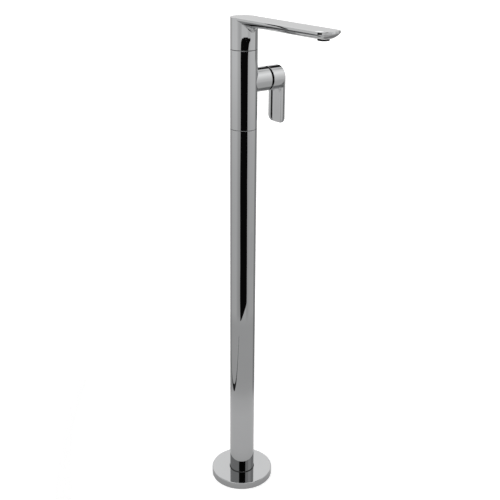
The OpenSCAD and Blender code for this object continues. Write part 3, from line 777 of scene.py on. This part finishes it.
def floor_material():
    """Pale floor: bright and matt to the camera, a calmer grey in reflections, darkest round the column's
    foot as a painted contact shadow.
    """
    made = bpy.data.materials.new("studio_floor")
    made.use_nodes = True
    tree = made.node_tree
    tree.nodes.clear()
    out = add_node(tree, "ShaderNodeOutputMaterial")
    path = add_node(tree, "ShaderNodeLightPath")
    mixer = add_node(tree, "ShaderNodeMixShader")
    matt = add_node(tree, "ShaderNodeBsdfDiffuse")
    matt.inputs["Color"].default_value = (0.93, 0.93, 0.93, 1.0)
    glow = add_node(tree, "ShaderNodeEmission")
    glow.inputs["Strength"].default_value = FLOOR_LIFT
    both = add_node(tree, "ShaderNodeAddShader")
    other = add_node(tree, "ShaderNodeEmission")
    place = add_node(tree, "ShaderNodeTexCoord")
    azimuth, parts = photo_angles(tree, place.outputs["Object"])
    across = calculate(tree, "POWER", parts.outputs["X"], 2.0)
    along = calculate(tree, "POWER", parts.outputs["Y"], 2.0)
    distance = calculate(tree, "SQRT", calculate(tree, "ADD", across, along))
    # Glow by distance, with the painted contact shadow round the column's foot
    glow_now = ramp_of(tree, distance, 0.0, FLOOR_REACH, FLOOR_GLOW_AND_SHADOW, 1.0)
    for stops, start, full in FLOOR_TURNS:
        turns = ramp_of(tree, azimuth, -180.0, 180.0, stops, TURN_PEAK)
        change = calculate(tree, "SUBTRACT", calculate(tree, "MULTIPLY", turns, TURN_PEAK), 1.0)
        far = add_node(tree, "ShaderNodeMapRange", interpolation_type="SMOOTHSTEP")
        far.inputs["From Min"].default_value = start
        far.inputs["From Max"].default_value = full
        link(tree, distance, far.inputs["Value"])
        factor = calculate(tree, "ADD", calculate(tree, "MULTIPLY", change, far.outputs["Result"]), 1.0)
        glow_now = calculate(tree, "MULTIPLY", glow_now, factor)
    link(tree, glow_now, other.inputs["Strength"])
    link(tree, matt.outputs["BSDF"], both.inputs[0])
    link(tree, glow.outputs["Emission"], both.inputs[1])
    link(tree, path.outputs["Is Camera Ray"], mixer.inputs["Fac"])
    link(tree, other.outputs["Emission"], mixer.inputs[1])
    link(tree, both.outputs["Shader"], mixer.inputs[2])
    link(tree, mixer.outputs["Shader"], out.inputs["Surface"])
    return made


floor_look = floor_material()
dark_look = glow_material("dark_card", DARK_CARD)
dark_floor_look = glow_material("dark_floor_card", DARK_CARD, lies=True)
grey_look = glow_material("grey_card", 0.38)
near_look = glow_material("near_card", 0.53)
bright_look = glow_material("bright_card", 1.25)
line_look = glow_material("line_card", 0.02, lies=True)


FLOOR_HALF = 12.0
CARD_RADIUS = 1.75
UPPER_RADIUS = 1.78
NEAR_RADIUS = 0.5
DARK_FLOOR_Z = 0.00015
FLOOR_LINE_Z = 0.0001


def make_floor():
    corners = [(x * FLOOR_HALF, y * FLOOR_HALF, 0.0) for x, y in ((-1, -1), (1, -1), (1, 1), (-1, 1))]
    stage_mesh("studio_floor", corners, floor_look)


# Outline of the dark gap on the floor, across and away from the camera, in metres
DARK_FLOOR = [(-0.288, -0.782), (-0.201, -0.813), (-0.074, -0.851), (0.058, -0.873), (0.196, -0.874),
              (0.337, -0.855), (0.478, -0.812), (0.580, -0.775), (0.641, -0.834), (0.715, -0.949),
              (0.811, -1.061), (0.897, -1.198), (0.984, -1.354), (1.12, -1.55), (0.6, -1.9), (-0.4, -1.9),
              (-0.85, -1.75), (-0.756, -1.599), (-0.674, -1.433), (-0.580, -1.291), (-0.505, -1.156),
              (-0.462, -1.020), (-0.404, -0.904)]

# Thin dark line on the floor left of the column: across and away from the camera, and its half width
FLOOR_LINE = [(-0.385, -0.62, 0.009), (-0.390, -0.43, 0.010), (-0.388, -0.25, 0.015), (-0.408, -0.08, 0.020),
              (-0.428, 0.05, 0.016), (-0.446, 0.20, 0.012), (-0.450, 0.42, 0.012)]

# Dark gap round the camera: height in metres, azimuth of its left and of its right end in degrees
DARK_WALL = [(0.0, -25.3, 36.0), (0.078, -26.3, 36.0), (0.148, -26.8, 34.8), (0.217, -26.3, 35.0),
             (0.285, -25.8, 35.0), (0.352, -25.1, 34.3), (0.418, -24.6, 33.7), (0.515, -25.4, 33.6),
             (0.611, -26.1, 33.9), (0.673, -27.0, 34.2), (0.700, -26.5, 35.5), (0.719, -25.8, 38.0),
             (0.734, -24.5, 42.0), (0.742, -23.5, 47.0), (0.747, -22.0, 53.7), (0.756, -15.0, 53.7),
             (0.76, -2.0, 30.0)]

# Small upright strips near the spout: across, away from the camera, height of the middle, half height
SPOUT_STRIP = [(-0.0118, -0.0778, 1.0435, 0.0003), (-0.0065, -0.0847, 1.0488, 0.0062),
               (-0.0013, -0.0915, 1.0536, 0.0114), (0.0040, -0.0981, 1.0534, 0.0115),
               (0.0091, -0.1048, 1.0484, 0.0066), (0.0142, -0.1115, 1.0426, 0.0015),
               (0.0193, -0.1180, 1.0413, 0.0012), (0.0244, -0.1246, 1.0407, 0.0008),
               (0.0293, -0.1311, 1.0404, 0.0004)]
TIP_LIGHT = [(0.1370, 0.005, 1.0787, 0.0001), (0.1405, 0.005, 1.0787, 0.0006),
             (0.1455, 0.005, 1.0787, 0.0010), (0.1505, 0.005, 1.0787, 0.0006),
             (0.1545, 0.005, 1.0787, 0.0001)]

# Dark card round the spout's tip: centre, distance, ends, height of the middle and half height
TIP_PLACE = (0.13, -0.21)
TIP_REACH = 0.2
TIP_ENDS = (-88.0, -16.0)
TIP_MIDDLE = 1.0185
TIP_HALF = 0.0125


def wall_card(name, rows, chosen, radius=CARD_RADIUS, steps=24):
    """Curved card round the column, from rows of height and the azimuths of its two ends."""
    vertices = []
    for height, left, right in rows:
        for k in range(steps + 1):
            turn = math.radians(left + (right - left) * k / steps)
            vertices.append(studio_point(radius * math.sin(turn), -radius * math.cos(turn), height))
    faces = []
    for i in range(len(rows) - 1):
        for k in range(steps):
            a = i * (steps + 1) + k
            faces.append((a, a + 1, a + steps + 2, a + steps + 1))
    stage_faces(name, vertices, faces, chosen)


def upright_strip(name, points, chosen):
    """Narrow standing card from points of place, height of the middle and half height."""
    stage_strip(name, [(x, y, z - half) for x, y, z, half in points],
                [(x, y, z + half) for x, y, z, half in points], chosen)


def tip_points(steps=12):
    """Places of the dark card round the spout's tip, highest in its middle."""
    points = []
    for k in range(steps + 1):
        turn = math.radians(TIP_ENDS[0] + (TIP_ENDS[1] - TIP_ENDS[0]) * k / steps)
        half = TIP_HALF * math.sqrt(max(1.0 - (2 * k / steps - 1.0) ** 4, 0.02))
        points.append((TIP_PLACE[0] + TIP_REACH * math.sin(turn), TIP_PLACE[1] - TIP_REACH * math.cos(turn),
                       TIP_MIDDLE, half))
    return points


def make_cards():
    """Dark gap round the camera, on the floor, behind it and above, with grey beside the upper part."""
    stage_mesh("dark_floor_card", [(x, y, DARK_FLOOR_Z) for x, y in DARK_FLOOR], dark_floor_look)
    wall_card("dark_wall_card", DARK_WALL, dark_look)
    wall_card("dark_upper_card", [(0.95, -27.5, 36.0), (1.9, -27.5, 36.0)], dark_look, UPPER_RADIUS)
    for label, left, right in (("left", -158.0, -27.5), ("right", 36.0, 66.0), ("back", 95.0, 162.0)):
        wall_card("grey_%s_card" % label, [(1.0, left, right), (1.6, left, right)], grey_look, UPPER_RADIUS)
    wall_card("grey_near_card", [(0.30, 64.0, 97.0), (0.43, 64.0, 97.0)], near_look, NEAR_RADIUS)
    upright_strip("dark_tip_card", tip_points(), dark_look)
    upright_strip("dark_spout_card", SPOUT_STRIP, dark_look)
    upright_strip("bright_tip_card", TIP_LIGHT, bright_look)
    stage_strip("floor_line", [(x + half, y, FLOOR_LINE_Z) for x, y, half in FLOOR_LINE],
                [(x - half, y, FLOOR_LINE_Z) for x, y, half in FLOOR_LINE], line_look)


# Radiance of the surroundings by elevation in degrees, towards the camera's side and away from it
NEAR_SIDE = [(-90, 0.53), (-40, 0.56), (-20, 0.64), (0, 0.78), (8, 0.87), (22, 1.05), (34, 1.25), (40, 1.33),
             (50, 1.4), (62, 1.4), (64, 1.9), (74, 1.9), (76, 0.6), (90, 0.62)]
FAR_SIDE = [(-90, 0.6), (0, 0.78), (13, 0.8), (20, 1.0), (33, 1.2), (40, 1.2), (50, 0.95), (53, 0.03),
            (68, 0.03), (71, 1.9), (84, 1.9), (86, 0.62), (90, 0.62)]
WORLD_PEAK = 2.0

# Patches of the surroundings: azimuth from and to, elevation from and to, radiance, width of the soft edge
SKY_PATCHES = [(142, 175, 23, 48, 0.02, 1.5), (118, 138, 46.5, 50.5, 0.4, 1.5), (150, 176, 13, 26, 0.45, 4),
               (48, 69, -4, 54, 0.08, 3), (66, 90, 36, 54, 0.15, 4),
               (173, 184, 28, 43, 1.0, 2), (-184, -173, 28, 43, 1.0, 2)]


def sky_patch(tree, azimuth, elevation, below, patch):
    """Lays one soft-edged patch over the radiance below it."""
    left, right, low, high, strength, soft = patch
    window = None
    for source, start, end in ((azimuth, left, left + soft), (azimuth, right, right - soft),
                               (elevation, low, low + soft), (elevation, high, high - soft)):
        step = add_node(tree, "ShaderNodeMapRange", interpolation_type="SMOOTHSTEP")
        step.inputs["From Min"].default_value = min(start, end)
        step.inputs["From Max"].default_value = max(start, end)
        step.inputs["To Min"].default_value = 0.0 if end > start else 1.0
        step.inputs["To Max"].default_value = 1.0 if end > start else 0.0
        link(tree, source, step.inputs["Value"])
        result = step.outputs["Result"]
        window = result if window is None else calculate(tree, "MULTIPLY", window, result)
    mix = add_node(tree, "ShaderNodeMix", data_type="RGBA")
    grey = strength / WORLD_PEAK
    mix.inputs["B"].default_value = (grey, grey, grey, 1.0)
    link(tree, window, mix.inputs["Factor"])
    link(tree, below, mix.inputs["A"])
    return mix.outputs["Result"]


def make_world():
    """White behind the object; in reflections and as light, a soft studio that changes with direction."""
    world = bpy.data.worlds.new("studio")
    bpy.context.scene.world = world
    world.use_nodes = True
    tree = world.node_tree
    tree.nodes.clear()
    out = add_node(tree, "ShaderNodeOutputWorld")
    place = add_node(tree, "ShaderNodeTexCoord")
    azimuth, parts = photo_angles(tree, place.outputs["Generated"])
    elevation = calculate(tree, "DEGREES", calculate(tree, "ARCSINE", parts.outputs["Z"]))
    near = ramp_of(tree, elevation, -90.0, 90.0, NEAR_SIDE, WORLD_PEAK)
    away = ramp_of(tree, elevation, -90.0, 90.0, FAR_SIDE, WORLD_PEAK)
    side = add_node(tree, "ShaderNodeMapRange", interpolation_type="SMOOTHSTEP")
    side.inputs["From Min"].default_value = -0.12
    side.inputs["From Max"].default_value = 0.12
    link(tree, parts.outputs["Y"], side.inputs["Value"])
    blend = add_node(tree, "ShaderNodeMix", data_type="RGBA")
    link(tree, side.outputs["Result"], blend.inputs["Factor"])
    link(tree, near, blend.inputs["A"])
    link(tree, away, blend.inputs["B"])
    seen = blend.outputs["Result"]
    for patch in SKY_PATCHES:
        seen = sky_patch(tree, azimuth, elevation, seen, patch)
    around = add_node(tree, "ShaderNodeBackground")
    around.inputs["Strength"].default_value = WORLD_PEAK
    link(tree, seen, around.inputs["Color"])
    plain = add_node(tree, "ShaderNodeBackground")
    plain.inputs["Color"].default_value = (1.0, 1.0, 1.0, 1.0)
    plain.inputs["Strength"].default_value = 1.05
    path = add_node(tree, "ShaderNodeLightPath")
    mixer = add_node(tree, "ShaderNodeMixShader")
    link(tree, path.outputs["Is Camera Ray"], mixer.inputs["Fac"])
    link(tree, around.outputs["Background"], mixer.inputs[1])
    link(tree, plain.outputs["Background"], mixer.inputs[2])
    link(tree, mixer.outputs["Shader"], out.inputs["Surface"])


def make_camera():
    """The photograph's camera."""
    data = bpy.data.cameras.new("camera")
    data.sensor_width = 36.0
    data.lens = CAMERA_LENS
    data.clip_start, data.clip_end = 0.05, 60.0
    made = bpy.data.objects.new("camera", data)
    bpy.context.scene.collection.objects.link(made)
    right, up, ahead = Vector(CAMERA_RIGHT), Vector(CAMERA_UP), Vector(CAMERA_AHEAD)
    turn = Matrix((right, up, -ahead)).transposed().to_4x4()
    made.matrix_world = Matrix.Translation(Vector(CAMERA_PLACE)) @ turn
    bpy.context.scene.camera = made


make_floor()
make_cards()
make_world()
make_camera()

bpy.context.scene.view_settings.view_transform = "Standard"

bpy.context.view_layer.update()
